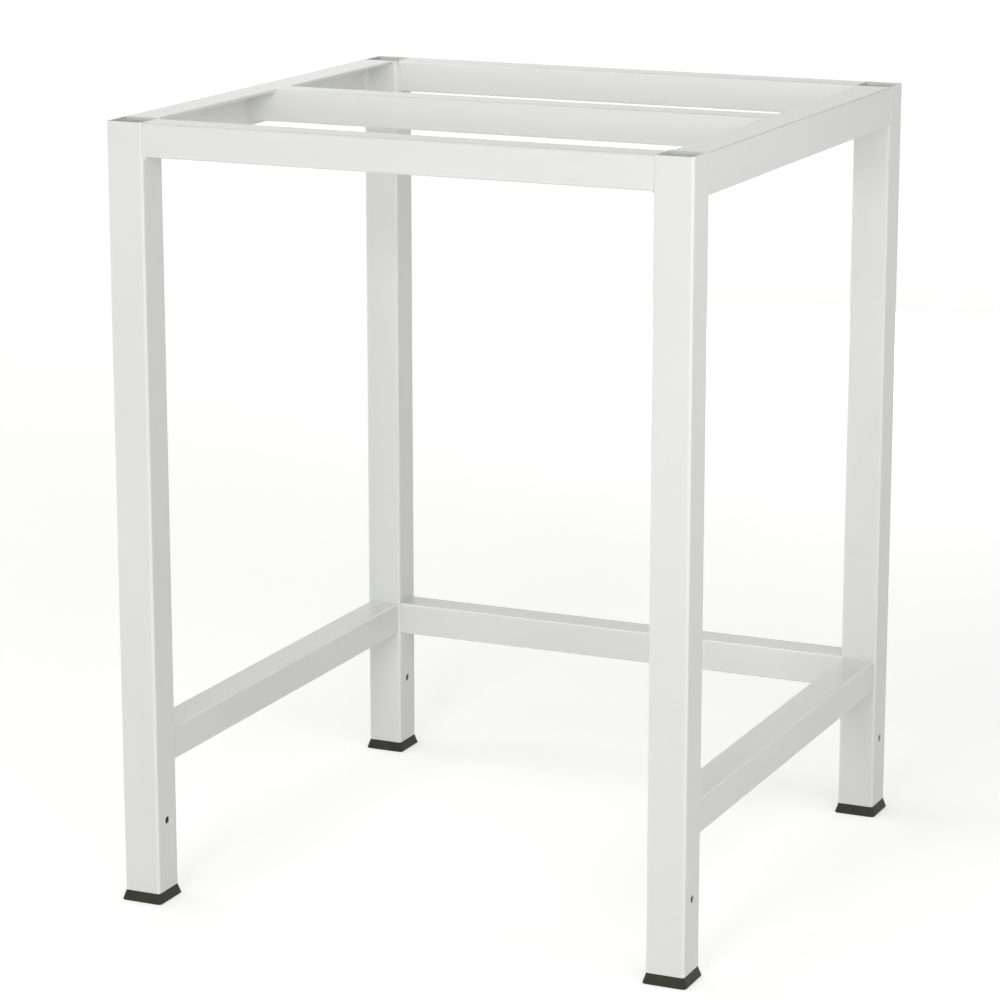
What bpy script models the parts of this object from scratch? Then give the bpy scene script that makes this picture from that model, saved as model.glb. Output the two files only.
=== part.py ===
"""Work table frame: square tube legs and rails, steel angle side rails, moulded glides and weld beads.

Metres, +Z up. The origin is on the floor under the middle of the frame, and the open front faces -Y.
"""

import math

import bmesh
import bpy

# Overall frame, over the outer faces of the legs
FRAME_WIDTH = 0.690
FRAME_DEPTH = 0.680
FRAME_HEIGHT = 0.900

# Square tube of the legs, with a hole through both side walls
LEG_SIDE = 0.045
LEG_WALL = 0.002
LEG_CORNER = 0.0035
LEG_HOLE_DIAMETER = 0.009
LEG_HOLE_HEIGHT = 0.095

# Square tube of the rails, a little stouter for the lower ones
RAIL_SIDE = 0.038
LOWER_RAIL_SIDE = 0.040
LOWER_RAIL_CENTRE = 0.180
RAIL_WALL = 0.002
RAIL_CORNER = 0.003

# Rolled angle of the two top side rails, crisp outside and filleted inside, with screw holes for the worktop
ANGLE_WEB = 0.045
ANGLE_FLANGE = 0.040
ANGLE_THICKNESS = 0.003
ANGLE_CORNER = 0.0012
ANGLE_ROOT = 0.0015
SCREW_HOLE_DIAMETER = 0.0045
SCREW_FROM_FRONT_LEG = 0.050
SCREW_FROM_MIDDLE_RAIL = 0.005
SCREW_FROM_BACK_LEG = 0.080

# Moulded glides: a flared head under the tube and a finned, hollow plug inside it
GLIDE_HEIGHT = 0.012
GLIDE_FLARE = 0.0032
GLIDE_CORNER = 0.0045
GLIDE_EDGE = 0.0012
GLIDE_FLOOR = 0.005
PLUG_LENGTH = 0.030
PLUG_WALL = 0.0025
PLUG_CORNER = 0.003
FIN_COUNT = 4
FIN_REACH = 0.0040
FIN_THICKNESS = 0.0012

# Weld beads
WELD_SIZE = 0.004
WELD_TAPER = 0.003
WELD_TIP = 0.4
WELD_FULLNESS = 0.5
WELD_MARGIN = 0.002

# Fits and fineness
GAP = 0.0003
SMALLEST_RADIUS = 0.0005
CUT_OVERRUN = 0.002
CORNER_STEPS = 4
EDGE_STEPS = 3
HOLE_SIDES = 24
CAP_MERGE = 0.00001
SMOOTH_ANGLE = math.radians(35)

# Turns that carry a section's own x, y and z to the frame
LOCAL_Z_TO_RIGHT = (math.pi / 2, 0, math.pi / 2)
LOCAL_Z_TO_LEFT = (math.pi / 2, 0, -math.pi / 2)
LOCAL_Z_TO_FRONT = (math.pi / 2, 0, 0)
LOCAL_Z_TO_BACK = (math.pi / 2, 0, math.pi)

# Values that follow from the sizes above
LEG_INNER = LEG_SIDE - 2 * LEG_WALL
LEG_INNER_CORNER = max(LEG_CORNER - LEG_WALL, SMALLEST_RADIUS)
RAIL_INNER_CORNER = max(RAIL_CORNER - RAIL_WALL, SMALLEST_RADIUS)
BETWEEN_LEGS_X = FRAME_WIDTH - 2 * LEG_SIDE
BETWEEN_LEGS_Y = FRAME_DEPTH - 2 * LEG_SIDE
LEG_X = (FRAME_WIDTH - LEG_SIDE) / 2
LEG_Y = (FRAME_DEPTH - LEG_SIDE) / 2
TOP_RAIL_Z = FRAME_HEIGHT - RAIL_SIDE / 2

LEG_PLACES = {
    "front_left": (-LEG_X, -LEG_Y),
    "front_right": (LEG_X, -LEG_Y),
    "back_left": (-LEG_X, LEG_Y),
    "back_right": (LEG_X, LEG_Y),
}


def clear_scene():
    """Removes every object that the file starts with."""
    for old in list(bpy.data.objects):
        bpy.data.objects.remove(old, do_unlink=True)


def new_collection(name):
    """A collection linked to the scene."""
    made = bpy.data.collections.new(name)
    bpy.context.scene.collection.children.link(made)
    return made


def new_material(name, colour, roughness, metallic):
    """A Principled BSDF material of one colour."""
    made = bpy.data.materials.new(name)
    made.use_nodes = True
    shader = made.node_tree.nodes["Principled BSDF"]
    shader.inputs["Base Color"].default_value = (*colour, 1)
    shader.inputs["Roughness"].default_value = roughness
    shader.inputs["Metallic"].default_value = metallic
    return made


def arc(centre_x, centre_y, radius, start, end, steps):
    """Points along an arc, both ends included, with its angles in degrees."""
    points = []
    for step in range(steps + 1):
        angle = math.radians(start + (end - start) * step / steps)
        points.append((centre_x + radius * math.cos(angle), centre_y + radius * math.sin(angle)))
    return points


def rounded_square(side, radius):
    """Outline of a square about the origin with rounded corners, anticlockwise."""
    inset = side / 2 - radius
    points = []
    for quarter, (along_x, along_y) in enumerate(((1, 1), (-1, 1), (-1, -1), (1, -1))):
        start = 90 * quarter
        points += arc(inset * along_x, inset * along_y, radius, start, start + 90, CORNER_STEPS)
    return points


def angle_outline():
    """Outline of the angle from its outer top corner: flange along +x, web along -y."""
    inner = ANGLE_THICKNESS + ANGLE_ROOT
    points = [(0, -ANGLE_WEB)]
    points += arc(ANGLE_CORNER, -ANGLE_CORNER, ANGLE_CORNER, 180, 90, CORNER_STEPS)
    points += [(ANGLE_FLANGE, 0), (ANGLE_FLANGE, -ANGLE_THICKNESS)]
    points += arc(inner, -inner, ANGLE_ROOT, 90, 180, CORNER_STEPS)
    points += [(ANGLE_THICKNESS, -ANGLE_WEB)]
    return points


def add_spline(curve, points, cyclic):
    """Adds a straight-sided spline through points in the curve's plane."""
    spline = curve.splines.new("POLY")
    spline.points.add(len(points) - 1)
    for point, (x, y) in zip(spline.points, points):
        point.co = (x, y, 0, 1)
    spline.use_cyclic_u = cyclic
    return spline


def flat_curve(name):
    """An empty 2D curve object, linked so that it can be evaluated."""
    curve = bpy.data.curves.new(name, "CURVE")
    curve.dimensions = "2D"
    made = bpy.data.objects.new(name, curve)
    bpy.context.scene.collection.objects.link(made)
    return made


def mesh_from_curve(guide):
    """Turns a curve object into a closed mesh, with its caps welded on, and removes the curve."""
    bpy.context.view_layer.update()
    graph = bpy.context.evaluated_depsgraph_get()
    mesh = bpy.data.meshes.new_from_object(guide.evaluated_get(graph))
    shape = bmesh.new()
    shape.from_mesh(mesh)
    bmesh.ops.remove_doubles(shape, verts=shape.verts, dist=CAP_MERGE)
    bmesh.ops.recalc_face_normals(shape, faces=shape.faces)
    shape.to_mesh(mesh)
    shape.free()
    curve = guide.data
    bpy.data.objects.remove(guide)
    bpy.data.curves.remove(curve)
    return mesh


def section_mesh(name, outlines, length):
    """Extrudes a section along local z, centred on the origin. A second outline is the bore."""
    guide = flat_curve(name)
    guide.data.fill_mode = "BOTH"
    guide.data.extrude = length / 2
    for outline in outlines:
        add_spline(guide.data, outline, cyclic=True)
    return mesh_from_curve(guide)


def tube_mesh(name, side, corner, wall, inner_corner, length):
    """A square tube along local z, open at both ends."""
    outlines = [rounded_square(side, corner), rounded_square(side - 2 * wall, inner_corner)]
    return section_mesh(name, outlines, length)


def ring_stack_mesh(name, rings):
    """Skins a stack of rounded squares, each a height, a side and a corner radius, and caps its two ends."""
    shape = bmesh.new()
    loops = []
    for height, side, radius in rings:
        loops.append([shape.verts.new((x, y, height)) for x, y in rounded_square(side, radius)])
    for lower, upper in zip(loops, loops[1:]):
        for place in range(len(lower)):
            after = (place + 1) % len(lower)
            shape.faces.new((lower[place], lower[after], upper[after], upper[place]))
    shape.faces.new(loops[0])
    shape.faces.new(loops[-1])
    bmesh.ops.recalc_face_normals(shape, faces=shape.faces)
    mesh = bpy.data.meshes.new(name)
    shape.to_mesh(mesh)
    shape.free()
    return mesh


def weld_profile(grows):
    """Section of a fillet bead at the origin: x leaves the rail, y leaves the face it is welded to."""
    points = [(0, 0)]
    for x, y in arc(0, 0, 1, 0, 90, CORNER_STEPS):
        reach = WELD_SIZE / (x + y) ** WELD_FULLNESS
        points.append((reach * x, reach * y * grows))
    return points


def weld_mesh(name, path, grows):
    """Carries the bead's section along a path, with its two ends tapered."""
    profile = flat_curve(name + "_profile")
    profile.data.fill_mode = "NONE"
    add_spline(profile.data, weld_profile(grows), cyclic=True)
    guide = flat_curve(name)
    guide.data.fill_mode = "NONE"
    guide.data.bevel_mode = "OBJECT"
    guide.data.bevel_object = profile
    guide.data.use_fill_caps = True
    spline = add_spline(guide.data, path, cyclic=False)
    spline.points[0].radius = WELD_TIP
    spline.points[-1].radius = WELD_TIP
    mesh = mesh_from_curve(guide)
    curve = profile.data
    bpy.data.objects.remove(profile)
    bpy.data.curves.remove(curve)
    return mesh


def with_taper(path):
    """Adds a point a taper's length inside each end of a path that starts and ends straight."""
    def step_in(end, other):
        length = math.dist(end, other)
        return tuple(a + (b - a) * WELD_TAPER / length for a, b in zip(end, other))

    return [path[0], step_in(path[0], path[1]), *path[1:-1], step_in(path[-1], path[-2]), path[-1]]


def under_path():
    """Along the underside of a lower rail, on its flat."""
    flat = LOWER_RAIL_SIDE / 2 - RAIL_CORNER
    low = -LOWER_RAIL_SIDE / 2 - GAP
    return with_taper([(-flat, low), (flat, low)])


def under_and_inside_path(below_top):
    """Along the underside of a top rail, round its corner and up its +x face to a distance below its top."""
    flat = RAIL_SIDE / 2 - RAIL_CORNER
    low = -RAIL_SIDE / 2 - GAP
    top = RAIL_SIDE / 2 - below_top
    corner = arc(flat, -flat, RAIL_CORNER + GAP, -90, 0, CORNER_STEPS)
    return with_taper([(-flat, low), *corner, (RAIL_SIDE / 2 + GAP, top)])


def web_path():
    """Up the inner face of the angle's web, to just below its flange."""
    across = ANGLE_THICKNESS + GAP
    top = -ANGLE_THICKNESS - ANGLE_ROOT - WELD_MARGIN
    return with_taper([(across, -ANGLE_WEB + WELD_MARGIN), (across, top)])


def add_node(name, mesh, parts, material, parent, location=(0, 0, 0), rotation=(0, 0, 0)):
    """Puts a mesh in the scene as one named piece."""
    mesh.name = name
    mesh.shade_smooth()
    mesh.set_sharp_from_angle(angle=SMOOTH_ANGLE)
    mesh.materials.clear()
    mesh.materials.append(material)
    made = bpy.data.objects.new(name, mesh)
    made.location = location
    made.rotation_euler = rotation
    made.parent = parent
    parts.objects.link(made)
    return made


def add_cutter(name, shape, cutters, location, rotation=(0, 0, 0)):
    """Turns a bmesh into a hidden wire object that Booleans can use."""
    mesh = bpy.data.meshes.new(name)
    shape.to_mesh(mesh)
    shape.free()
    made = bpy.data.objects.new(name, mesh)
    made.location = location
    made.rotation_euler = rotation
    made.hide_render = True
    made.display_type = "WIRE"
    cutters.objects.link(made)
    return made


def drill(name, diameter, length, cutters, location, rotation=(0, 0, 0)):
    """A cutter for a round hole along local z."""
    shape = bmesh.new()
    bmesh.ops.create_cone(
        shape, cap_ends=True, segments=HOLE_SIDES, radius1=diameter / 2, radius2=diameter / 2, depth=length
    )
    return add_cutter(name, shape, cutters, location, rotation)


def block(name, size, cutters, location):
    """A cutter for a square notch."""
    shape = bmesh.new()
    bmesh.ops.create_cube(shape, size=1)
    bmesh.ops.scale(shape, vec=size, verts=shape.verts)
    return add_cutter(name, shape, cutters, location)


def cut(piece, cutter):
    """Takes a cutter's shape out of a piece."""
    boolean = piece.modifiers.new(cutter.name, "BOOLEAN")
    boolean.operation = "DIFFERENCE"
    boolean.solver = "EXACT"
    boolean.object = cutter


def build_legs(parts, cutters, material, parent):
    """Four open tubes standing on their glides, each drilled from side to side."""
    length = FRAME_HEIGHT - GLIDE_HEIGHT
    for place, (x, y) in LEG_PLACES.items():
        mesh = tube_mesh("leg", LEG_SIDE, LEG_CORNER, LEG_WALL, LEG_INNER_CORNER, length)
        leg = add_node("leg_" + place, mesh, parts, material, parent, (x, y, GLIDE_HEIGHT + length / 2))
        hole = drill(
            "leg_hole_" + place, LEG_HOLE_DIAMETER, LEG_SIDE + 2 * CUT_OVERRUN, cutters,
            (x, y, LEG_HOLE_HEIGHT), LOCAL_Z_TO_RIGHT,
        )
        cut(leg, hole)


def glide_rings():
    """Profile of a glide from the middle of its underside, up its head and plug, and down into its hollow."""
    foot = LEG_SIDE + 2 * GLIDE_FLARE
    rings = []
    for x, y in arc(0, GLIDE_EDGE, GLIDE_EDGE, -90, 0, EDGE_STEPS):
        rings.append((y, foot - 2 * (GLIDE_EDGE - x), GLIDE_CORNER - (GLIDE_EDGE - x)))
    shoulder = GLIDE_HEIGHT - GAP
    rings.append((shoulder, LEG_SIDE, LEG_CORNER))
    fin = LEG_INNER - 2 * GAP
    fin_corner = max(LEG_INNER_CORNER - GAP, SMALLEST_RADIUS)
    core = fin - 2 * FIN_REACH
    top = GLIDE_HEIGHT + PLUG_LENGTH
    rings.append((shoulder, core, PLUG_CORNER))
    pitch = PLUG_LENGTH / (FIN_COUNT + 1)
    for number in range(1, FIN_COUNT + 1):
        low = GLIDE_HEIGHT + number * pitch - FIN_THICKNESS / 2
        high = low + FIN_THICKNESS
        rings += [(low, core, PLUG_CORNER), (low, fin, fin_corner)]
        rings += [(high, fin, fin_corner), (high, core, PLUG_CORNER)]
    hollow = core - 2 * PLUG_WALL
    hollow_corner = max(PLUG_CORNER - PLUG_WALL, SMALLEST_RADIUS)
    rings += [(top, core, PLUG_CORNER), (top, hollow, hollow_corner), (GLIDE_FLOOR, hollow, hollow_corner)]
    return rings


def build_glides(parts, material, parent):
    """A moulded glide under each leg, its plug inside the tube."""
    for place, (x, y) in LEG_PLACES.items():
        mesh = ring_stack_mesh("glide", glide_rings())
        add_node("glide_" + place, mesh, parts, material, parent, (x, y, 0))


def add_welds(name, ends, path, length, parts, material, rail):
    """A bead at each end of a rail, starting level with the rail's own end."""
    for side, end in zip((-1, 1), ends):
        bead = "weld_" + name + "_" + end
        mesh = weld_mesh(bead, path, -side)
        add_node(bead, mesh, parts, material, rail, (0, 0, side * length / 2))


def add_tube_rail(name, ends, side, path, between, parts, coats, parent, location, rotation):
    """A rail tube that fills the space between two faces, with its two weld beads."""
    length = between - 2 * GAP
    mesh = tube_mesh(name, side, RAIL_CORNER, RAIL_WALL, RAIL_INNER_CORNER, length)
    rail = add_node(name, mesh, parts, coats["rail"], parent, location, rotation)
    add_welds(name, ends, path, length, parts, coats["weld"], rail)
    return rail


def build_side_rails(parts, cutters, coats, parent):
    """Angles between the front and back legs, webs flush outside, flanges level with the leg tops."""
    length = BETWEEN_LEGS_Y - 2 * GAP
    holes = (
        -BETWEEN_LEGS_Y / 2 + SCREW_FROM_FRONT_LEG,
        -RAIL_SIDE / 2 - SCREW_FROM_MIDDLE_RAIL,
        BETWEEN_LEGS_Y / 2 - SCREW_FROM_BACK_LEG,
    )
    sides = (
        ("side_rail_left", -1, LOCAL_Z_TO_FRONT, ("back", "front")),
        ("side_rail_right", 1, LOCAL_Z_TO_BACK, ("front", "back")),
    )
    for name, side, rotation, ends in sides:
        mesh = section_mesh(name, [angle_outline()], length)
        corner = (side * FRAME_WIDTH / 2, 0, FRAME_HEIGHT)
        rail = add_node(name, mesh, parts, coats["angle"], parent, corner, rotation)
        add_welds(name, ends, web_path(), length, parts, coats["weld"], rail)
        middle = side * (FRAME_WIDTH / 2 - (ANGLE_FLANGE + ANGLE_THICKNESS) / 2)
        depth = 2 * (ANGLE_THICKNESS + CUT_OVERRUN)
        for number, y in enumerate(holes, start=1):
            place = (middle, y, FRAME_HEIGHT)
            cut(rail, drill(f"{name}_hole_{number}", SCREW_HOLE_DIAMETER, depth, cutters, place))


def build_top_rails(parts, cutters, coats, parent):
    """Front, back and middle tubes under the worktop, the middle one coped to pass under the side flanges."""
    across = FRAME_DEPTH / 2 - RAIL_SIDE / 2
    below_top = RAIL_CORNER + WELD_MARGIN
    add_tube_rail(
        "front_rail", ("left", "right"), RAIL_SIDE, under_and_inside_path(below_top), BETWEEN_LEGS_X,
        parts, coats, parent, (0, -across, TOP_RAIL_Z), LOCAL_Z_TO_RIGHT,
    )
    add_tube_rail(
        "back_rail", ("right", "left"), RAIL_SIDE, under_and_inside_path(below_top), BETWEEN_LEGS_X,
        parts, coats, parent, (0, across, TOP_RAIL_Z), LOCAL_Z_TO_LEFT,
    )
    cope_depth = ANGLE_THICKNESS + ANGLE_ROOT + GAP
    between_webs = FRAME_WIDTH - 2 * ANGLE_THICKNESS
    below_flange = under_and_inside_path(cope_depth + WELD_MARGIN)
    middle = add_tube_rail(
        "middle_rail", ("left", "right"), RAIL_SIDE, below_flange, between_webs,
        parts, coats, parent, (0, 0, TOP_RAIL_Z), LOCAL_Z_TO_RIGHT,
    )
    reach = FRAME_WIDTH / 2 - ANGLE_FLANGE - GAP
    notch = FRAME_WIDTH / 2 + CUT_OVERRUN - reach
    for name, side in (("left", -1), ("right", 1)):
        size = (notch, RAIL_SIDE + 2 * CUT_OVERRUN, 2 * cope_depth)
        cut(middle, block("cope_" + name, size, cutters, (side * (reach + notch / 2), 0, FRAME_HEIGHT)))


def build_lower_rails(parts, coats, parent):
    """Tubes low between the legs at the left, right and back, on the middle of the legs' faces."""
    rails = (
        ("left", ("back", "front"), BETWEEN_LEGS_Y, (-LEG_X, 0), LOCAL_Z_TO_FRONT),
        ("right", ("front", "back"), BETWEEN_LEGS_Y, (LEG_X, 0), LOCAL_Z_TO_BACK),
        ("back", ("right", "left"), BETWEEN_LEGS_X, (0, LEG_Y), LOCAL_Z_TO_LEFT),
    )
    for name, ends, between, (x, y), rotation in rails:
        add_tube_rail(
            "lower_rail_" + name, ends, LOWER_RAIL_SIDE, under_path(), between,
            parts, coats, parent, (x, y, LOWER_RAIL_CENTRE), rotation,
        )


def main():
    clear_scene()
    parts = new_collection("work_table_frame")
    cutters = new_collection("cutters")
    frame = bpy.data.objects.new("work_table", None)
    parts.objects.link(frame)
    coats = {
        "leg": new_material("leg powder coat", (0.76, 0.78, 0.74), 0.38, 0.0),
        "rail": new_material("rail powder coat", (0.75, 0.77, 0.73), 0.38, 0.0),
        "angle": new_material("angle powder coat", (0.75, 0.77, 0.74), 0.38, 0.0),
        "weld": new_material("weld powder coat", (0.77, 0.78, 0.75), 0.42, 0.0),
    }
    plastic = new_material("glide moulded plastic", (0.030, 0.030, 0.026), 0.55, 0.0)
    build_legs(parts, cutters, coats["leg"], frame)
    build_glides(parts, plastic, frame)
    build_side_rails(parts, cutters, coats, frame)
    build_top_rails(parts, cutters, coats, frame)
    build_lower_rails(parts, coats, frame)


main()
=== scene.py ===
"""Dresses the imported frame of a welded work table: coated tubes and angles, welds and moulded glides."""

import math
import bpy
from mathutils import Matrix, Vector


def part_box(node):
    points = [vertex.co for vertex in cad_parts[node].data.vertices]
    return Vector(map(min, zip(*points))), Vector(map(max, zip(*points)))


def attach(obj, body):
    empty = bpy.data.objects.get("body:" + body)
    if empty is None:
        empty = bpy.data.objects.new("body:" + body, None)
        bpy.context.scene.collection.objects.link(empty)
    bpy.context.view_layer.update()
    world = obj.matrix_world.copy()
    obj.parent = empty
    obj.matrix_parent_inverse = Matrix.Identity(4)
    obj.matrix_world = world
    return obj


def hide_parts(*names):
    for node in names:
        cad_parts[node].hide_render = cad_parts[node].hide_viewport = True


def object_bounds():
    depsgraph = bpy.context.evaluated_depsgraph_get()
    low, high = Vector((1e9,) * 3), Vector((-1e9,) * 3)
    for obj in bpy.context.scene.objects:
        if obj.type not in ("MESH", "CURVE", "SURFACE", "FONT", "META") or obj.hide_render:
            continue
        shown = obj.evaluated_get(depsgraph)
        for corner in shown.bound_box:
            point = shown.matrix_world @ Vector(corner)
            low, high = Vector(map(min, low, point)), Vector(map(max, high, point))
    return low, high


bl_info = {
    "name": "Work table frame",
    "version": (1, 0, 0),
    "blender": (4, 5, 0),
    "location": "View3D > Sidebar > Work table",
    "description": "Builds the coated steel, the welds and the glides of a work table frame",
    "category": "Object",
}

import bmesh
import bpy
import numpy as np
from mathutils import Vector

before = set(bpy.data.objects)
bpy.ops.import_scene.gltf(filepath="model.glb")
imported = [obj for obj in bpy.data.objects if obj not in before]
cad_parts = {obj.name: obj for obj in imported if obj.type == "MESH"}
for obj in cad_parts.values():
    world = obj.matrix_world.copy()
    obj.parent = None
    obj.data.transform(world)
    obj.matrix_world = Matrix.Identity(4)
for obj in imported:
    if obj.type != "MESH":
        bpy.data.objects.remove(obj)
CAD_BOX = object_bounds()

BODY = "root"
COAT_SLOT = "powder_coat"
PLASTIC_SLOT = "glide_plastic"

# Corners of the frame, and the axes as places in a point
CORNERS = ("front_left", "front_right", "back_left", "back_right")
X, Y, Z = 0, 1, 2

# Fineness of the surfaces
CORNER_STEPS = 8
RIM_STEPS = 3
HOLE_SIDES = 48
BEAD_STEPS = 10
BEAD_LEAST_ROWS = 8
GROUND_ROWS = 60
SMOOTH_ANGLE = math.radians(40)
FLAT_PLACES = (0.02, 0.10, 0.5, 0.90, 0.98)
SQUARE_CORNERS = np.array([(-1, -1), (1, -1), (1, 1), (-1, 1)]) / 2

# Small sizes in metres: rounded rims, support rows, how far pieces sink in, cutters run on, and bead rows
RIM = 0.0004
SUPPORT = 0.0006
SINK = 0.00012
OVERRUN = 0.002
BEAD_ROW = 0.0004

# Powder that drifted into the leg tops: how deep, from how far above, and how ragged its border is
DRIFT_DEPTH = 0.018
DRIFT_ABOVE = 0.002
DRIFT_RAGGED = 0.004

# Faces of a tube are bore from this share of its wall inwards
BORE_FROM = 0.9

# Weld beads: lag and height of the ripples, size of the tip, and slow waves as share, length and lead
RIPPLE_LAG = 0.45
RIPPLE_HEIGHT = 0.055
BEAD_TIP = 0.25
BEAD_WAVES = ((0.05, 0.017, 0.0), (0.03, 0.0071, 1.0))

# Painted edge light along rounded edges: above 0 a paler painted highlight, below 0 a darker grey painted
# line
LEG_PAINTED_HIGHLIGHT = 0.7
RAIL_PAINTED_HIGHLIGHT = 0.25
LOWER_RAIL_PAINTED_HIGHLIGHT = 1.0
ANGLE_DARK_LINE = -1.0

# Ground welds: depth of the dip, strength of the painted highlight in their middle and how grey the painted
# shadow line by the rail is
GROUND = {
    "front_rail_left": (0.00055, 0.45, 0.5),
    "front_rail_right": (0.00055, 0.0, 0.5),
    "back_rail_left": (0.00055, 0.45, 0.3),
    "back_rail_right": (0.00055, 0.45, 0.3),
    "side_rail_left_front": (0.0, 0.0, 0.0),
    "side_rail_right_front": (0.0, 0.0, 0.0),
    "side_rail_left_back": (0.0020, 1.0, 0.0),
    "side_rail_right_back": (0.0020, 1.0, 0.0),
}

# All ground welds: how proud they stand, how deep their ends run out, and share and length of their waves
GROUND_PROUD = 0.00003
GROUND_RUN_OUT = 0.0007
GROUND_WAVE = (0.30, 0.013)

# Their groove and hidden back as shares of the leg's corner, and their end gap as a share of the rail's
GROOVE = 0.82
GROUND_BACK = ((0.0, 1.0), (-0.3, 0.9), (-GROOVE, 0.35))
GROUND_SHORT = 0.7

# Camera at the photographed angle
CAMERA_PLACE = (1.6561, -3.7301, 1.4183)
CAMERA_YAW = math.radians(24.26)
CAMERA_PITCH = math.radians(13.58)
CAMERA_LENS = 129.2
CAMERA_SENSOR = 36.0

# Floor: its size, how much it glows near the table and far out, and the distances of both
FLOOR_SIZE = 14.0
FLOOR_LIFT = (0.42, 0.80)
FLOOR_REACH = (0.5, 5.0)

# World: its light on the object, and how dim reflections find it overhead, between two heights of direction
AMBIENT = 0.32
CEILING = 0.05
CEILING_HEIGHTS = (0.5, 0.8)

# Soft boxes, most of one size and aimed at the middle of the table
TABLE_MIDDLE = (0.0, 0.0, 0.5)
SOFT_BOX = 1.2
LAMPS = {
    "key": {"place": (0.2, -4.0, 1.6), "aim": TABLE_MIDDLE, "size": SOFT_BOX, "power": 48.0},
    "front left": {"place": (-1.8, -3.2, 1.3), "aim": TABLE_MIDDLE, "size": SOFT_BOX, "power": 8.0},
    "front right": {"place": (1.7, -2.3, 1.9), "aim": TABLE_MIDDLE, "size": SOFT_BOX, "power": 12.5},
    "right": {"place": (3.6, -1.6, 0.9), "aim": TABLE_MIDDLE, "size": SOFT_BOX, "power": 11.5},
    "top right": {"place": (1.25, -0.35, 1.15), "aim": (0.3, 0.0, 0.75), "size": 0.8, "power": 2.4},
    "top left": {"place": (-0.6, 0.15, 1.57), "aim": (-0.1, 0.0, 0.9), "size": 0.9, "power": 3.7},
    "left": {"place": (-3.4, -0.3, 0.7), "aim": TABLE_MIDDLE, "size": SOFT_BOX, "power": 20.0},
    "back": {"place": (-0.2, 3.6, 0.5), "aim": TABLE_MIDDLE, "size": 0.9, "power": 20.0},
}

# Where a noise pattern starts and stops to show, and the sockets of a colour mix
NOISE_SPREAD = {"From Min": 0.3, "From Max": 0.7}
SHARE, FIRST, SECOND = 0, 6, 7

# How metallic the steel in a bore is where no powder covers it
BARE_METALLIC = 0.4


def linear(hex_colour):
    """sRGB hex to linear red, green and blue: c / 12.92 below 0.04045, else ((c + 0.055) / 1.055) ** 2.4."""
    srgb = np.array([int(hex_colour[k:k + 2], 16) for k in (0, 2, 4)]) / 255
    return tuple(float(c) for c in np.where(srgb <= 0.04045, srgb / 12.92, ((srgb + 0.055) / 1.055) ** 2.4))


def length_value(name, description, default):
    """A length that a user can change."""
    return bpy.props.FloatProperty(
        name=name, description=description, default=default, min=0.0, unit="LENGTH"
    )


def colour_value(name, description, hex_colour):
    """A colour that a user can change, given as sRGB hex."""
    return bpy.props.FloatVectorProperty(
        name=name, description=description, default=linear(hex_colour), size=3, min=0.0, max=1.0,
        subtype="COLOR",
    )


class TableSizes(bpy.types.PropertyGroup):
    """Sizes that the CAD boxes don't give"""

    leg_wall: length_value("Leg wall", "Thickness of the leg tube", 0.002)
    leg_corner: length_value("Leg corner", "Outer corner radius of the leg tube", 0.0035)
    leg_hole: length_value("Leg hole", "Diameter of the hole near the foot of each leg", 0.009)
    leg_hole_height: length_value("Leg hole height", "Height of that hole above the floor", 0.095)
    rail_wall: length_value("Rail wall", "Thickness of the rail tubes", 0.002)
    rail_corner: length_value("Rail corner", "Outer corner radius of the rail tubes", 0.003)
    angle_wall: length_value("Angle wall", "Thickness of the side rails", 0.003)
    angle_corner: length_value("Angle corner", "Rounding of the outer corner of the side rails", 0.0012)
    angle_root: length_value("Angle root", "Fillet inside the corner of the side rails", 0.0015)
    angle_edge: length_value("Angle edge", "Rounding of the free edges of the side rails", 0.0005)
    screw_hole: length_value("Screw hole", "Diameter of the holes in the flanges", 0.0045)
    screw_from_front: length_value("Front screw", "From the front legs to the first hole", 0.050)
    screw_from_middle: length_value("Middle screw", "From the middle rail to the second hole", 0.005)
    screw_from_back: length_value("Back screw", "From the back legs to the third hole", 0.080)
    weld: length_value("Weld", "Leg length of the fillet welds", 0.004)
    weld_taper: length_value("Weld taper", "Length over which a bead runs out", 0.004)
    ripple_pitch: length_value("Ripple pitch", "Distance from one weld ripple to the next", 0.0021)
    glide_flare: length_value("Glide flare", "How far the glide stands out beyond the leg", 0.0032)
    glide_corner: length_value("Glide corner", "Corner radius of the glide where it is widest", 0.0045)
    glide_edge: length_value("Glide edge", "Rounding of the glide's lower edge", 0.0012)
    glide_floor: length_value("Glide floor", "Thickness of the glide under its hollow", 0.005)
    plug_wall: length_value("Plug wall", "Wall of the hollow plug", 0.0025)
    plug_corner: length_value("Plug corner", "Corner radius of the plug", 0.003)
    plug_length: length_value("Plug length", "How far the plug goes into the tube", 0.030)
    fin_reach: length_value("Fin reach", "How far the plug's fins stand out", 0.004)
    fin_thickness: length_value("Fin thickness", "Thickness of one fin", 0.0012)
    fit_gap: length_value("Fit gap", "Play between the fins and the tube", 0.0003)
    fin_count: bpy.props.IntProperty(name="Fins", description="Fins on each plug", default=4, min=1)


class TableFinish(bpy.types.PropertyGroup):
    """Colours of the finishes and of the stage"""

    coat: colour_value("Coat", "Off-white powder coat", "E7E8E6")
    coat_shade: colour_value("Coat shade", "The same coat where more powder settled", "E5E6E3")
    # A painted highlight: the paler coat along rounded edges stands in for light caught on them.
    coat_painted_highlight: colour_value("Coat edge", "The same coat along rounded edges, rubbed paler", "F7F8F6")
    # A darker grey painted line along the angle's outer corner, and a painted shadow line by the ground
    # welds.
    coat_dark_line: colour_value("Coat thin", "The same coat where it drew back from a sharp edge", "BFC0BD")
    steel: colour_value("Steel", "Mill scale inside the legs", "76818D")
    plastic: colour_value("Plastic", "Moulded plastic of the glides", "3A3B32")
    plastic_bloom: colour_value("Plastic bloom", "Paler skin that moulding leaves on the plastic", "424339")
    floor: colour_value("Floor", "Studio floor", "EDEDEB")


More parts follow.
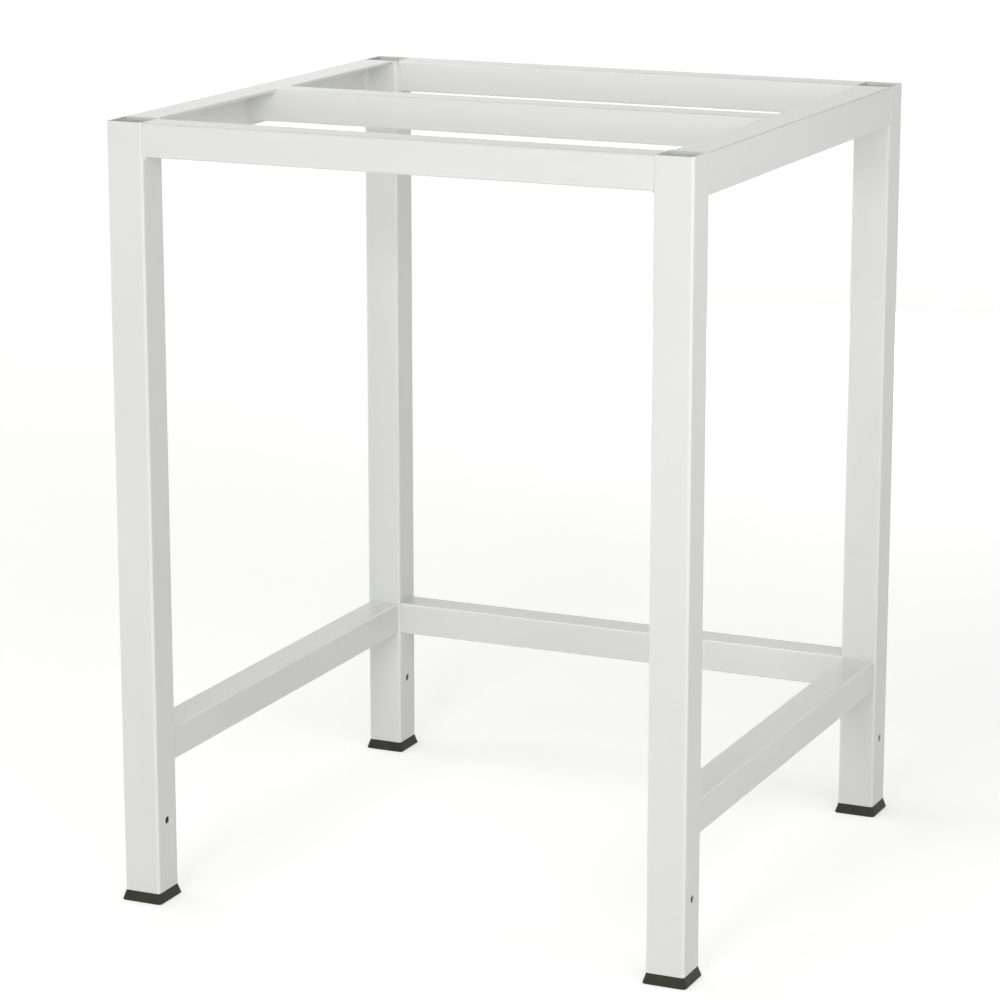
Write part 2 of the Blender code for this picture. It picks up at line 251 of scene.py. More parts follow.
def add_node(tree, kind, inputs, **options):
    """Adds one node; inputs maps its sockets to values, or to the nodes or outputs that feed them."""
    node = tree.nodes.new(kind)
    for option, value in options.items():
        setattr(node, option, value)
    for socket, value in inputs.items():
        if isinstance(value, bpy.types.Node):
            value = next(output for output in value.outputs if output.enabled)
        if isinstance(value, bpy.types.NodeSocket):
            tree.links.new(value, node.inputs[socket])
        else:
            node.inputs[socket].default_value = value
    return node


def new_material(name):
    """An empty node material, its tree and the object's own coordinates."""
    material = bpy.data.materials.new(name)
    material.use_nodes = True
    tree = material.node_tree
    tree.nodes.clear()
    place = add_node(tree, "ShaderNodeTexCoord", {}).outputs["Object"]
    return material, tree, place


def per_metre(millimetres):
    """Scale of a pattern whose lumps are that many millimetres across."""
    return 1000 / millimetres


def opaque(colour):
    """A colour with full cover."""
    return (*colour, 1)


def powder_coat(finish):
    """Polyester powder coat, sprayed on and baked.

    It levels to a semi-gloss skin. Its orange peel has lumps of about 2 mm, very shallow. The coat is a
    shade denser where more powder settled. Along the rounded edges of the steel a paler painted highlight is
    mixed in, and the coat shines a little more there; along the angle's outer corner and by the ground welds
    a darker grey painted line is mixed in, by the welds as a painted shadow line.
    """
    material, tree, place = new_material("baked powder coat")
    cloud = add_node(tree, "ShaderNodeTexNoise", {"Vector": place, "Scale": per_metre(180), "Detail": 1.0})
    share = add_node(tree, "ShaderNodeMapRange", {"Value": cloud, **NOISE_SPREAD})
    inputs = {SHARE: share, FIRST: opaque(finish.coat), SECOND: opaque(finish.coat_shade)}
    flat_colour = add_node(tree, "ShaderNodeMix", inputs, data_type="RGBA")
    # The edge value paints the edge light: a paler painted highlight above 0, a darker grey painted line
    # below 0.
    edge = add_node(tree, "ShaderNodeAttribute", {}, attribute_name="edge").outputs["Fac"]
    inputs = {SHARE: edge, FIRST: flat_colour, SECOND: opaque(finish.coat_painted_highlight)}
    painted_highlight = add_node(tree, "ShaderNodeMix", inputs, data_type="RGBA")
    # Below 0 the edge value mixes in the darker grey painted line.
    dark_line_share = add_node(tree, "ShaderNodeMath", {0: edge, 1: -1.0}, operation="MULTIPLY")
    inputs = {SHARE: dark_line_share, FIRST: painted_highlight, SECOND: opaque(finish.coat_dark_line)}
    colour = add_node(tree, "ShaderNodeMix", inputs, data_type="RGBA")
    handled = add_node(tree, "ShaderNodeTexNoise", {"Vector": place, "Scale": per_metre(45), "Detail": 2.0})
    inputs = {"Value": handled, **NOISE_SPREAD, "To Min": 0.22, "To Max": 0.25}
    flat = add_node(tree, "ShaderNodeMapRange", inputs)
    rough = add_node(tree, "ShaderNodeMath", {0: edge, 1: -0.04, 2: flat}, operation="MULTIPLY_ADD")
    peel = add_node(tree, "ShaderNodeTexNoise", {"Vector": place, "Scale": per_metre(2.2), "Detail": 1.0})
    skin = add_node(tree, "ShaderNodeBump", {"Strength": 0.1, "Distance": 0.00005, "Height": peel})
    inputs = {"Base Color": colour, "Roughness": rough, "Normal": skin, "IOR": 1.5}
    shader = add_node(tree, "ShaderNodeBsdfPrincipled", inputs)
    add_node(tree, "ShaderNodeOutputMaterial", {"Surface": shader})
    return material


def bore_steel(finish, top):
    """Welded steel tube inside: dull grey mill scale, with powder that drifted in at the top."""
    material, tree, place = new_material("mill-scaled steel with overspray")
    height = add_node(tree, "ShaderNodeSeparateXYZ", {0: place}).outputs["Z"]
    speck = add_node(tree, "ShaderNodeTexNoise", {"Vector": place, "Scale": per_metre(3), "Detail": 3.0})
    inputs = {0: speck, 1: DRIFT_RAGGED, 2: height}
    ragged = add_node(tree, "ShaderNodeMath", inputs, operation="MULTIPLY_ADD")
    inputs = {"Value": ragged, "From Min": top - DRIFT_DEPTH, "From Max": top + DRIFT_ABOVE}
    drift = add_node(tree, "ShaderNodeMapRange", inputs, interpolation_type="SMOOTHSTEP")
    inputs = {SHARE: drift, FIRST: opaque(finish.steel), SECOND: opaque(finish.coat_shade)}
    colour = add_node(tree, "ShaderNodeMix", inputs, data_type="RGBA")
    inputs = {0: drift, 1: -BARE_METALLIC, 2: BARE_METALLIC}
    metal = add_node(tree, "ShaderNodeMath", inputs, operation="MULTIPLY_ADD")
    scale = add_node(tree, "ShaderNodeTexNoise", {"Vector": place, "Scale": per_metre(6), "Detail": 3.0})
    inputs = {"Value": scale, **NOISE_SPREAD, "To Min": 0.48, "To Max": 0.62}
    rough = add_node(tree, "ShaderNodeMapRange", inputs)
    shader = add_node(
        tree, "ShaderNodeBsdfPrincipled", {"Base Color": colour, "Metallic": metal, "Roughness": rough}
    )
    add_node(tree, "ShaderNodeOutputMaterial", {"Surface": shader})
    return material


def glide_plastic(finish):
    """Polyethylene, injection moulded: a dull olive-black skin, dimmed by its grain.

    The mould's spark-eroded grain is about 0.3 mm across and is drawn at 0.9 mm so that it shows.
    """
    material, tree, place = new_material("moulded polyethylene")
    flow = add_node(tree, "ShaderNodeTexNoise", {"Vector": place, "Scale": per_metre(12), "Detail": 3.0})
    share = add_node(tree, "ShaderNodeMapRange", {"Value": flow, **NOISE_SPREAD})
    inputs = {SHARE: share, FIRST: opaque(finish.plastic), SECOND: opaque(finish.plastic_bloom)}
    colour = add_node(tree, "ShaderNodeMix", inputs, data_type="RGBA")
    inputs = {"Value": flow, **NOISE_SPREAD, "To Min": 0.42, "To Max": 0.52}
    rough = add_node(tree, "ShaderNodeMapRange", inputs)
    grain = add_node(tree, "ShaderNodeTexNoise", {"Vector": place, "Scale": per_metre(0.9), "Detail": 2.0})
    skin = add_node(tree, "ShaderNodeBump", {"Strength": 0.3, "Distance": 0.00015, "Height": grain})
    inputs = {"Base Color": colour, "Roughness": rough, "Normal": skin}
    inputs |= {"IOR": 1.51, "Specular IOR Level": 0.1}
    shader = add_node(tree, "ShaderNodeBsdfPrincipled", inputs)
    add_node(tree, "ShaderNodeOutputMaterial", {"Surface": shader})
    return material


def shown_rays(tree):
    """1 for rays that show the backdrop, to the camera, in gloss or through glass, and 0 for the rest."""
    rays = add_node(tree, "ShaderNodeLightPath", {}).outputs
    seen = add_node(
        tree, "ShaderNodeMath", {0: rays["Is Camera Ray"], 1: rays["Is Glossy Ray"]}, operation="MAXIMUM"
    )
    return add_node(tree, "ShaderNodeMath", {0: seen, 1: rays["Is Transmission Ray"]}, operation="MAXIMUM")


def floor_paint(finish):
    """Matt white studio floor: it keeps the shadows, and glows just enough to read white, more far out."""
    material, tree, place = new_material("matt studio floor")
    matt = add_node(tree, "ShaderNodeBsdfDiffuse", {"Color": opaque(finish.floor)})
    away = add_node(tree, "ShaderNodeVectorMath", {0: place}, operation="LENGTH").outputs["Value"]
    inputs = {"Value": away, "From Min": FLOOR_REACH[0], "From Max": FLOOR_REACH[1]}
    inputs |= {"To Min": FLOOR_LIFT[0], "To Max": FLOOR_LIFT[1]}
    lift = add_node(tree, "ShaderNodeMapRange", inputs)
    shown = add_node(tree, "ShaderNodeMath", {0: shown_rays(tree), 1: lift}, operation="MULTIPLY")
    glow = add_node(tree, "ShaderNodeEmission", {"Strength": shown})
    both = add_node(tree, "ShaderNodeAddShader", {0: matt, 1: glow})
    add_node(tree, "ShaderNodeOutputMaterial", {"Surface": both})
    return material


def shared_material(name, make, *values):
    """The material of that name, made the first time it is asked for."""
    return bpy.data.materials.get(name) or make(*values)


def coat():
    """The powder coat of all the steel."""
    return shared_material("baked powder coat", powder_coat, bpy.context.scene.table_finish)


def bore():
    """The bare steel inside the legs, dusted with powder at the top."""
    finish, top = bpy.context.scene.table_finish, CAD_BOX[1][Z]
    return shared_material("mill-scaled steel with overspray", bore_steel, finish, top)


def plastic():
    """The plastic of the glides."""
    return shared_material("moulded polyethylene", glide_plastic, bpy.context.scene.table_finish)


def unit_square():
    """Section of a square with rounded corners, as three arrays over its points.

    A point is half * place + radius * outward. On a corner, place is (+-1, +-1) and outward turns as
    (cos a, sin a). On a flat, place slides from one corner to the next and outward stays square to it.
    edge is sin(2 a) squared, 0 on flats.
    """
    turn = np.linspace(0, np.pi / 2, CORNER_STEPS + 1)
    slide = np.array(FLAT_PLACES)
    quarters = np.arange(4)[:, None] * np.pi / 2
    angles = np.concatenate([quarters + turn, np.repeat(quarters + np.pi / 2, len(slide), axis=1)], axis=1)
    shares = np.concatenate([0 * turn, slide])[None, :, None]
    diagonal = quarters[:, :, None] + np.pi / 4 + np.array([0, np.pi / 2])
    ends = np.sqrt(2) * np.stack([np.cos(diagonal), np.sin(diagonal)], axis=-1)
    place = (1 - shares) * ends[:, :, 0] + shares * ends[:, :, 1]
    outward = np.stack([np.cos(angles), np.sin(angles)], axis=-1)
    edge = np.tile(np.concatenate([np.sin(2 * turn) ** 2, 0 * slide]), 4)
    return place.reshape(-1, 2), outward.reshape(-1, 2), edge


def square_rings(sides, radii, heights):
    """Rings of rounded squares: (side / 2 - radius) * place + radius * outward, each at its height."""
    place, outward, _ = unit_square()
    half = (np.asarray(sides) / 2 - radii)[:, None, None]
    flat = half * place + np.asarray(radii)[:, None, None] * outward
    rise = np.broadcast_to(np.asarray(heights)[:, None, None], flat.shape[:2] + (1,))
    return np.concatenate([flat, rise], axis=-1)


def tube_rings(side, corner, wall, length):
    """A square tube along z as one closed band of rings.

    It goes over the top edge from the outside to the bore, down the bore, and over the bottom edge back to
    the outside. Each edge is a quarter circle of inset and height. Returns the rings and how far each is set
    in from the outside.
    """
    turn = np.linspace(0, np.pi / 2, RIM_STEPS + 1)
    over = RIM * (1 - np.cos(turn))
    drop = RIM * (1 - np.sin(turn))
    inset = np.concatenate([[0], over, wall - over[::-1], [wall]])
    below = np.concatenate([[RIM + SUPPORT], drop, drop[::-1], [RIM + SUPPORT]])
    inset = np.concatenate([inset, inset[::-1]])
    height = np.concatenate([length / 2 - below, below[::-1] - length / 2])
    return square_rings(side - 2 * inset, corner - inset, height), inset


def grid_faces(rows, columns, closed):
    """Corner numbers of a grid's faces; columns always join up, rows only if closed."""
    row = np.arange(rows if closed else rows - 1)[:, None]
    column = np.arange(columns)[None, :]
    after_row = (row + 1) % rows
    after_column = (column + 1) % columns
    corners = (
        row * columns + column, row * columns + after_column,
        after_row * columns + after_column, after_row * columns + column,
    )
    return np.stack(corners, axis=-1).reshape(-1, 4)


def make_mesh(name, points, closed, slots=None, edge=None):
    """A mesh over a grid of points, with its open ends capped and its faces pointing out.

    slots gives a material place for each row of faces, and edge a value for each column of points.
    """
    rows, columns = points.shape[:2]
    faces = grid_faces(rows, columns, closed).tolist()
    if not closed:
        faces.append(list(range(columns)))
        faces.append(list(range((rows - 1) * columns, rows * columns)))
    mesh = bpy.data.meshes.new(name)
    mesh.from_pydata(points.reshape(-1, 3).tolist(), [], faces)
    if slots is not None:
        mesh.polygons.foreach_set("material_index", np.repeat(slots, columns).astype(np.int32))
    if edge is not None:
        values = np.broadcast_to(edge, (rows, columns)).astype(np.float32).ravel()
        mesh.attributes.new("edge", "FLOAT", "POINT").data.foreach_set("value", values)
    shape = bmesh.new()
    shape.from_mesh(mesh)
    bmesh.ops.recalc_face_normals(shape, faces=shape.faces)
    shape.to_mesh(mesh)
    shape.free()
    return mesh


def new_object(name, mesh, *materials):
    """An object at the origin with that mesh and its materials."""
    for material in materials:
        mesh.materials.append(material)
    made = bpy.data.objects.new(name, mesh)
    bpy.context.scene.collection.objects.link(made)
    return made


def finish_piece(piece, slot, *nodes):
    """Shades a piece, gives it its body and hides the CAD nodes it stands for; slot is not used."""
    piece.data.shade_smooth()
    piece.data.set_sharp_from_angle(angle=SMOOTH_ANGLE)
    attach(piece, BODY)
    if nodes:
        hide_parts(*nodes)


def carve(piece, cutter):
    """Takes a closed cutter out of a piece and removes the cutter."""
    boolean = piece.modifiers.new("carve", "BOOLEAN")
    boolean.operation = "DIFFERENCE"
    boolean.solver = "EXACT"
    boolean.object = cutter
    bpy.context.view_layer.update()
    graph = bpy.context.evaluated_depsgraph_get()
    carved = bpy.data.meshes.new_from_object(piece.evaluated_get(graph))
    piece.modifiers.remove(boolean)
    piece.data = carved
    bpy.data.objects.remove(cutter)


def lay(points, axis, centre):
    """Turns a shape built along z to lie along an axis, and moves it to its centre."""
    return np.roll(points, axis + 1, axis=-1) + np.array(centre)


def drill(piece, centre, axis, diameter, depth):
    """Drills a hole whose mouths open at 45 degrees: radius = r + max(|along| - depth / 2 + RIM, 0)."""
    half = depth / 2
    along = np.array([-half - OVERRUN, RIM - half, half - RIM, half + OVERRUN])
    radius = diameter / 2 + np.maximum(np.abs(along) - half + RIM, 0)
    turn = np.linspace(0, 2 * np.pi, HOLE_SIDES, endpoint=False)
    across = radius[:, None] * np.cos(turn)
    up = radius[:, None] * np.sin(turn)
    points = np.stack([across, up, np.broadcast_to(along[:, None], across.shape)], axis=-1)
    carve(piece, new_object("drill", make_mesh("drill", lay(points, axis, centre), closed=False)))


def node_box(node):
    """Lowest corner, highest corner and middle of a CAD node, as arrays."""
    low, high = (np.array(corner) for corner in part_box(node))
    return low, high, (low + high) / 2


def tube_piece(name, node, axis, side, corner, wall, length, painted_highlight, *materials):
    """A square tube along an axis, about the middle of its CAD node, its bore in the last material."""
    points, inset = tube_rings(side, corner, wall, length)
    deep = np.minimum(inset, np.roll(inset, -1)) > BORE_FROM * wall
    _, _, edge = unit_square()
    slots = np.where(deep, len(materials) - 1, 0)
    mesh = make_mesh(name, lay(points, axis, node_box(node)[2]), True, slots, painted_highlight * edge)
    return new_object(name, mesh, *materials)


def build_leg(place):
    """One leg: an open tube drilled from side to side near its foot."""
    sizes = bpy.context.scene.table_sizes
    node = "leg_" + place
    low, high, middle = node_box(node)
    side = high[X] - low[X]
    section = (side, sizes.leg_corner, sizes.leg_wall, high[Z] - low[Z])
    leg = tube_piece("coated_" + node, node, Z, *section, LEG_PAINTED_HIGHLIGHT, coat(), bore())
    drill(leg, (middle[X], middle[Y], sizes.leg_hole_height), X, sizes.leg_hole, side)
    finish_piece(leg, COAT_SLOT, node)


def glide_profile(sizes, leg_side, height):
    """Side, corner radius and height of a glide's rings: underside, head, finned plug, then its hollow."""
    turn = np.linspace(-np.pi / 2, 0, CORNER_STEPS + 1)
    foot = leg_side + 2 * sizes.glide_flare
    tuck = sizes.glide_edge * (1 - np.cos(turn))
    rows = [(foot - 2 * tuck, sizes.glide_corner - tuck, sizes.glide_edge * (1 + np.sin(turn)))]
    shoulder = height - sizes.fit_gap
    easing = RIM * (1 - np.cos(turn + np.pi / 2))
    rise = RIM * (np.sin(turn + np.pi / 2) - 1)
    rows.append((leg_side - 2 * easing, sizes.leg_corner - easing, shoulder + rise))
    bore_side = leg_side - 2 * sizes.leg_wall
    fin = bore_side - 2 * sizes.fit_gap
    core = fin - 2 * sizes.fin_reach
    pitch = sizes.plug_length / (sizes.fin_count + 1)
    middle = height + pitch * np.arange(1, sizes.fin_count + 1)[:, None]
    thick = sizes.fin_thickness / 2
    fin_heights = (middle + np.array([-thick, -thick, thick, thick])).ravel()
    fin_sides = np.tile([core, fin, fin, core], sizes.fin_count)
    fin_corner = max(sizes.leg_corner - sizes.leg_wall - sizes.fit_gap, RIM)
    fin_radii = np.tile([sizes.plug_corner, fin_corner, fin_corner, sizes.plug_corner], sizes.fin_count)
    rows.append((np.array([core]), np.array([sizes.plug_corner]), np.array([shoulder])))
    rows.append((fin_sides, fin_radii, fin_heights))
    hollow = core - 2 * sizes.plug_wall
    hollow_corner = max(sizes.plug_corner - sizes.plug_wall, RIM)
    top = height + sizes.plug_length
    cup = (np.array([core, hollow, hollow]), np.array([sizes.plug_corner, hollow_corner, hollow_corner]))
    rows.append((*cup, np.array([top, top, sizes.glide_floor])))
    return (np.concatenate(column) for column in zip(*rows))


def build_glide(place):
    """One moulded glide, its head under the leg and its finned plug inside."""
    sizes = bpy.context.scene.table_sizes
    node = "glide_" + place
    leg_low, leg_high, middle = node_box("leg_" + place)
    sides, radii, heights = glide_profile(sizes, leg_high[X] - leg_low[X], leg_low[Z])
    points = square_rings(sides, radii, heights) + np.array([middle[X], middle[Y], 0])
    glide = new_object("moulded_" + node, make_mesh("moulded_" + node, points, closed=False), plastic())
    finish_piece(glide, PLASTIC_SLOT, node)


def rounded_outline(corners, radii, painted_edge_light):
    """A closed outline with each corner rounded to its radius, and a support point beyond each arc.

    The arc of a corner runs from one tangent point to the other about the centre that lies on the corner's
    bisector. Returns the points and an edge value that carries the painted edge light in the middle of an
    arc and 0 beside it.
    """
    points, edge = [], []
    count = len(corners)
    corners = np.array(corners, float)
    for k in range(count):
        back = corners[k - 1] - corners[k]
        ahead = corners[(k + 1) % count] - corners[k]
        back = back / np.linalg.norm(back)
        ahead = ahead / np.linalg.norm(ahead)
        turn = np.linspace(0, np.pi / 2, CORNER_STEPS + 1)[:, None]
        centre = corners[k] + radii[k] * (back + ahead)
        arc = centre - radii[k] * (np.cos(turn) * ahead + np.sin(turn) * back)
        reach = radii[k] + SUPPORT
        points += [corners[k] + reach * back, arc, corners[k] + reach * ahead]
        edge += [0, *painted_edge_light[k] * np.sin(2 * turn[:, 0]) ** 2, 0]
    return np.vstack(points), np.array(edge)


def angle_outline(sizes, web, flange):
    """Section of a side rail from its outer top corner: flange along +x, web along -y."""
    thick = sizes.angle_wall
    corners = [(0, -web), (0, 0), (flange, 0), (flange, -thick), (thick, -thick), (thick, -web)]
    edge = sizes.angle_edge
    radii = [edge, sizes.angle_corner, edge, edge, sizes.angle_root, edge]
    # Painted highlight on the free edges, a darker grey painted line on the outer corner.
    painted_edge_light = [RAIL_PAINTED_HIGHLIGHT, ANGLE_DARK_LINE, RAIL_PAINTED_HIGHLIGHT, RAIL_PAINTED_HIGHLIGHT, 0, RAIL_PAINTED_HIGHLIGHT]
    return rounded_outline(corners, radii, painted_edge_light)


def build_side_rail(side):
    """One side rail, its web flush with the legs outside, its flange inwards with screw holes.

    The section of the angle is carried along y from leg to leg, and mirrored for the right side.
    """
    sizes = bpy.context.scene.table_sizes
    node = "side_rail_" + side
    inward = 1 if side == "left" else -1
    low, high, middle = node_box(node)
    outline, edge = angle_outline(sizes, high[Z] - low[Z], high[X] - low[X])
    reach = (high[Y] - low[Y]) / 2 + sizes.fit_gap
    half = reach + SINK
    places = np.array([-half, SUPPORT - half, half - SUPPORT, half])
    outer = low[X] if side == "left" else high[X]
    points = np.empty((len(places), len(outline), 3))
    points[..., X] = outer + inward * outline[:, 0]
    points[..., Y] = middle[Y] + places[:, None]
    points[..., Z] = high[Z] + outline[:, 1]
    mesh = make_mesh("coated_" + node, points, closed=False, edge=edge)
    rail = new_object(mesh.name, mesh, coat())
    holes = (
        middle[Y] - reach + sizes.screw_from_front,
        node_box("middle_rail")[0][Y] - sizes.screw_from_middle,
        middle[Y] + reach - sizes.screw_from_back,
    )
    across = outer + inward * (high[X] - low[X] + sizes.angle_wall) / 2
    for place in holes:
        drill(rail, (across, place, high[Z] - sizes.angle_wall / 2), Z, sizes.screw_hole, sizes.angle_wall)
    finish_piece(rail, COAT_SLOT, node)


def build_tube_rail(node, axis):
    """One rail tube, run on until it meets the faces that it is welded to."""
    sizes = bpy.context.scene.table_sizes
    low, high, _ = node_box(node)
    length = high[axis] - low[axis] + 2 * (sizes.fit_gap + SINK)
    section = (high[Z] - low[Z], sizes.rail_corner, sizes.rail_wall, length)
    painted_highlight = LOWER_RAIL_PAINTED_HIGHLIGHT if node.startswith("lower") else RAIL_PAINTED_HIGHLIGHT
    return tube_piece("coated_" + node, node, axis, *section, painted_highlight, coat())


def cope(rail, side):
    """Notches the top of the middle rail where it passes under a side rail's flange.

    The notch is a box: one rectangle at its floor and the same one above the rail.
    """
    sizes = bpy.context.scene.table_sizes
    low, high, middle = node_box("side_rail_" + side)
    rail_low, rail_high, _ = node_box("middle_rail")
    depth = sizes.angle_wall - SINK
    width = high[X] - low[X] + 2 * sizes.fit_gap
    across = rail_high[Y] - rail_low[Y] + 2 * OVERRUN
    points = np.empty((2, len(SQUARE_CORNERS), 3))
    points[..., :2] = SQUARE_CORNERS * np.array([width, across]) + middle[:2]
    points[..., Z] = np.array([[high[Z] - depth], [high[Z] + OVERRUN]])
    carve(rail, new_object("notch", make_mesh("notch", points, closed=False)))


def bead_path(first, corner, second):
    """A path that runs straight, round a quarter circle and straight again, its outward side on the right.

    By arc length s: the turn is a = clip((s - first) / corner, 0, 90 degrees); the point is
    corner * (sin a, -cos a), less what is left of the first straight along x, plus what is done of the
    second along y; outward is (sin a, -cos a).
    """
    total = first + corner * np.pi / 2 + second
    s = np.linspace(0, total, max(int(total / BEAD_ROW), BEAD_LEAST_ROWS))
    turn = np.clip((s - first) / corner, 0, np.pi / 2)
    outward = np.stack([np.sin(turn), -np.cos(turn)], axis=-1)
    point = corner * outward
    point[:, 0] += np.minimum(s - first, 0)
    point[:, 1] += np.maximum(s - first - corner * np.pi / 2, 0)
    return s, point, outward


def straight(length):
    """A straight path along x from the origin, with its outward side on the right."""
    s = np.linspace(0, length, max(int(length / BEAD_ROW), BEAD_LEAST_ROWS))
    zero = np.zeros_like(s)
    return s, np.stack([s, zero], axis=-1), np.stack([zero, zero - 1], axis=-1)


def bead_points(path, origin, across, up, along, sizes):
    """A fillet bead carried along a path in the plane of across and up, growing towards along.

    Section: reach * (cos b * outward + sin b * along), b from 0 to 90 degrees, with
    reach = weld / sqrt(cos b + sin b), so that it lies between a flat and a round fillet. Ripples swell the
    reach by a few hundredths, cos(2 pi (s - lag) / pitch), and lag in the middle of the bead as frozen weld
    pools do. Slow waves along s vary the reach as well, and it shrinks over the taper at both ends.
    """
    s, point, outward = path
    lean = np.linspace(0, np.pi / 2, BEAD_STEPS + 1)
    full = sizes.weld / np.sqrt(np.cos(lean) + np.sin(lean))
    lag = RIPPLE_LAG * sizes.ripple_pitch * np.sin(2 * lean)
    swell = np.cos(2 * np.pi * (s[:, None] - lag) / sizes.ripple_pitch)
    ripple = 1 + RIPPLE_HEIGHT * np.sin(2 * lean) * swell
    wander = 1 + sum(share * np.sin(2 * np.pi * s / length + lead) for share, length, lead in BEAD_WAVES)
    end = np.clip(np.minimum(s, s[-1] - s) / sizes.weld_taper, 0, 1)
    taper = BEAD_TIP + (1 - BEAD_TIP) * np.sqrt(1 - (1 - end) ** 2)
    reach = full * ripple * (wander * taper)[:, None]
    out = reach * np.cos(lean) - SINK
    grow = reach * np.sin(lean) - SINK
    root = np.full((len(s), 1), -2 * SINK)
    out = np.concatenate([out, root], axis=1)
    grow = np.concatenate([grow, root], axis=1)
    flat = point[:, None, :] + out[..., None] * outward[:, None, :]
    return origin + flat[..., :1] * across + flat[..., 1:] * up + grow[..., None] * along


def add_bead(name, path, origin, across, up, along):
    """One weld bead, standing for its CAD node."""
    sizes = bpy.context.scene.table_sizes
    vectors = (np.array(vector, float) for vector in (origin, across, up, along))
    points = bead_points(path, *vectors, sizes)
    bead = new_object("bead_" + name, make_mesh("bead_" + name, points, closed=False), coat())
    finish_piece(bead, COAT_SLOT, "weld_" + name)


def unit(axis, sign=1):
    """The unit vector of an axis, or its opposite."""
    return sign * np.eye(3)[axis]


def top_rail_beads(node, inside):
    """Beads under a top rail and up its inner face, at both ends, on the faces that it meets."""
    sizes = bpy.context.scene.table_sizes
    low, high, _ = node_box(node)
    corner = sizes.rail_corner
    flat = high[Z] - low[Z] - 2 * corner
    for end, sign in (("left", -1), ("right", 1)):
        bead_top = node_box(f"weld_{node}_{end}")[1][Z]
        path = bead_path(flat, corner, bead_top - low[Z] - corner)
        face = (low if sign < 0 else high)[X] + sign * sizes.fit_gap
        inner = (high if inside > 0 else low)[Y] - inside * corner
        origin = (face, inner, low[Z] + corner)
        add_bead(f"{node}_{end}", path, origin, unit(Y, inside), unit(Z), unit(X, -sign))


def lower_rail_beads(node, axis, ends):
    """Beads along the underside of a lower rail at both ends."""
    low, high, middle = node_box(node)
    sizes = bpy.context.scene.table_sizes
    cross = X if axis == Y else Y
    for end, sign in zip(ends, (-1, 1)):
        bead_low, bead_high, _ = node_box(f"weld_{node}_{end}")
        length = bead_high[cross] - bead_low[cross]
        origin = np.array(middle)
        origin[axis] = (low if sign < 0 else high)[axis] + sign * sizes.fit_gap
        origin[cross] -= length / 2
        origin[Z] = low[Z]
        add_bead(f"{node}_{end}", straight(length), origin, unit(cross), unit(Z), unit(axis, -sign))


def side_rail_beads(side):
    """Beads up the inner face of a side rail's web, where it meets the legs."""
    sizes = bpy.context.scene.table_sizes
    node = "side_rail_" + side
    inward = 1 if side == "left" else -1
    low, high, _ = node_box(node)
    face = (low if inward > 0 else high)[X] + inward * sizes.angle_wall
    for end, sign in (("front", -1), ("back", 1)):
        bead_low, bead_high, _ = node_box(f"weld_{node}_{end}")
        path = straight(bead_high[Z] - bead_low[Z])
        origin = (face, (low if sign < 0 else high)[Y] + sign * sizes.fit_gap, bead_low[Z])
        add_bead(f"{node}_{end}", path, origin, unit(Z), unit(X, -inward), unit(Y, -sign))


def flush_weld(name, origin, along, inward, height):
    """A weld that fills the groove between a leg's rounded corner and a rail's end, ground nearly level.

    Section, from the leg to the rail: its face dips by dip * sin(pi t) as t runs from 0 to 1 across the
    groove, and its back is sunk in the leg and the rail. It is carried up the joint, thinning at both ends.
    Its middle carries a painted highlight and its side by the rail a grey painted shadow line,
    edge = painted_highlight * sin(pi t) - painted_shadow_line * sin(pi t^4).
    """
    sizes = bpy.context.scene.table_sizes
    corner = sizes.leg_corner
    groove = GROOVE * corner
    deepest, painted_highlight, painted_shadow_line = GROUND[name]
    wave, wave_length = GROUND_WAVE
    t = np.linspace(0, 1, BEAD_STEPS + 1)
    rise = np.linspace(0, height, GROUND_ROWS)
    end = np.clip(np.minimum(rise, height - rise) / (2 * SUPPORT), 0, 1)
    sunk = GROUND_RUN_OUT * (1 - np.sqrt(1 - (1 - end) ** 2))
    dip = deepest * (1 + wave * np.sin(2 * np.pi * rise / wave_length))
    face_along = np.broadcast_to(-groove + t * (groove + RIM), (len(rise), len(t)))
    face_in = dip[:, None] * np.sin(np.pi * t) + sunk[:, None] - GROUND_PROUD
    back = np.vstack([(RIM, 2 * RIM), corner * np.array(GROUND_BACK)])
    back_along, back_in = np.broadcast_to(back.T[:, None, :], (2, len(rise), len(back)))
    a = np.concatenate([face_along, back_along], axis=1)[..., None]
    b = np.concatenate([face_in, back_in], axis=1)[..., None]
    points = np.array(origin) + a * along + b * inward + rise[:, None, None] * unit(Z)
    painted_edge_light = painted_highlight * np.sin(np.pi * t) - painted_shadow_line * np.sin(np.pi * t**4)
    edge = np.concatenate([painted_edge_light, np.zeros(len(back))])
    mesh = make_mesh("flush_weld_" + name, points, closed=False, edge=edge)
    finish_piece(new_object(mesh.name, mesh, coat()), COAT_SLOT)


def flush_welds():
    """The ground welds on the outer faces of the front and back rails and of the side rails."""
    sizes = bpy.context.scene.table_sizes
    for node, face in (("front_rail", -1), ("back_rail", 1)):
        low, high, _ = node_box(node)
        for end, sign in (("left", -1), ("right", 1)):
            outer = (low if face < 0 else high)[Y]
            bottom = low[Z] + GROUND_SHORT * sizes.rail_corner
            origin = ((low if sign < 0 else high)[X] + sign * sizes.fit_gap, outer, bottom)
            height = high[Z] - GROUND_SHORT * sizes.rail_corner - bottom
            flush_weld(f"{node}_{end}", origin, unit(X, -sign), unit(Y, -face), height)
    for side, face in (("left", -1), ("right", 1)):
        low, high, _ = node_box("side_rail_" + side)
        for end, sign in (("front", -1), ("back", 1)):
            outer = (low if face < 0 else high)[X]
            joint = (low if sign < 0 else high)[Y] + sign * sizes.fit_gap
            origin = (outer, joint, low[Z] + sizes.angle_edge)
            height = high[Z] - low[Z] - sizes.angle_edge - sizes.angle_corner
            flush_weld(f"side_rail_{side}_{end}", origin, unit(Y, -sign), unit(X, -face), height)


